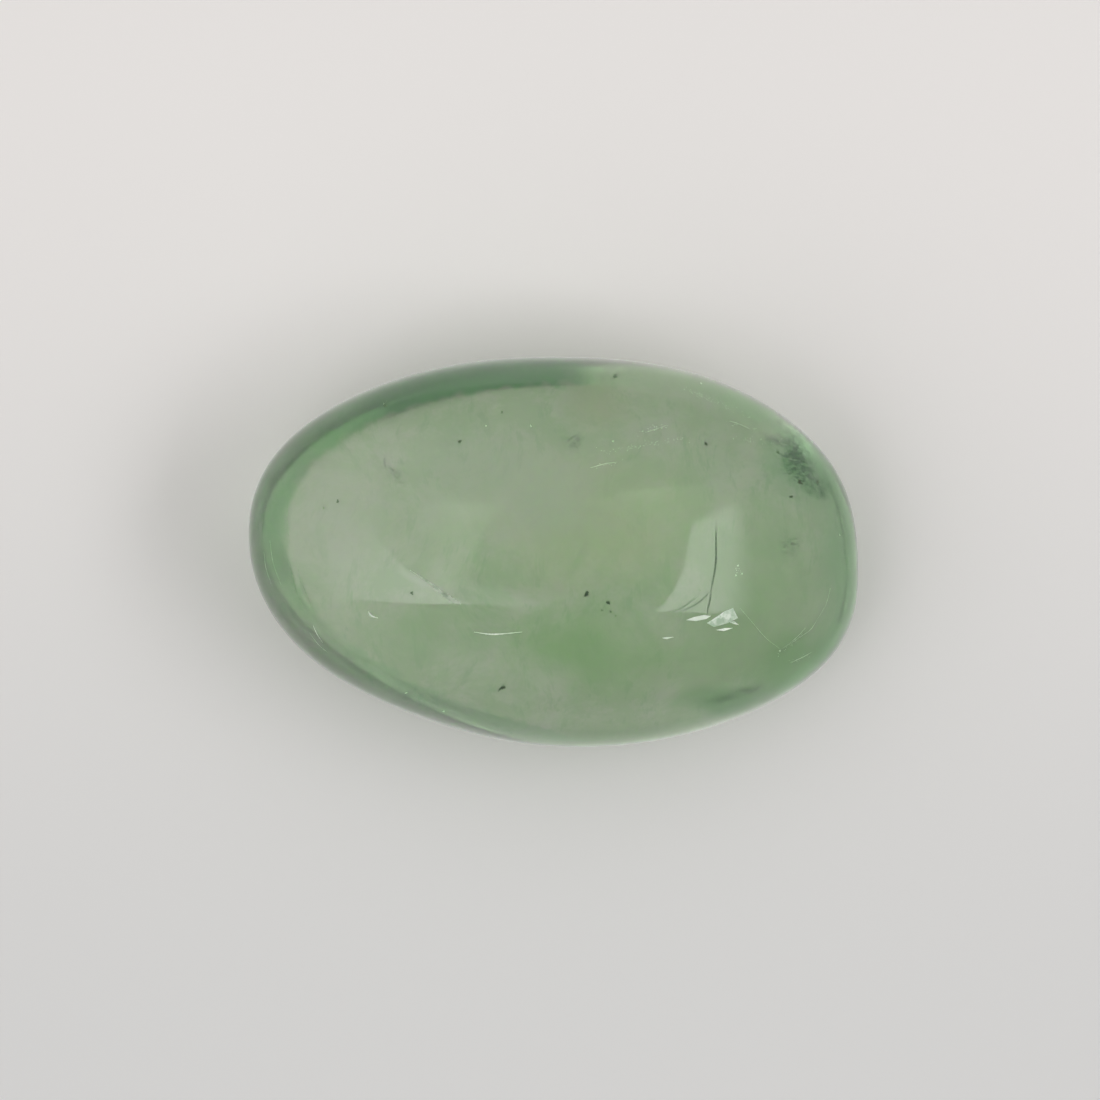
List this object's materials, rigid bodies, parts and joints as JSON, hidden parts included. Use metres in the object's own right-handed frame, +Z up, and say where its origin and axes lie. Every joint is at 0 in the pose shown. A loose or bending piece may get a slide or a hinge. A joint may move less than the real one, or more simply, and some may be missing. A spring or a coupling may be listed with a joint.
{
  "type": "tumbled fluorite stone",
  "caption": "Oval tumbled gemstone of cloudy, see-through green fluorite, polished all over and resting on a small flat spot.",
  "frame": {"origin": "middle of the length and width, on the surface that the stone rests on", "axes": "+X along the stone towards its broad end, +Y across it towards the fuller side, +Z up out of the crown"},
  "size_m": [0.03, 0.0192, 0.0124],
  "materials": {
    "green_fluorite": "polished, see-through, cloudy"
  },
  "bodies": {
    "root": {"fluorite_stone": "green_fluorite"}
  },
  "joints": []
}
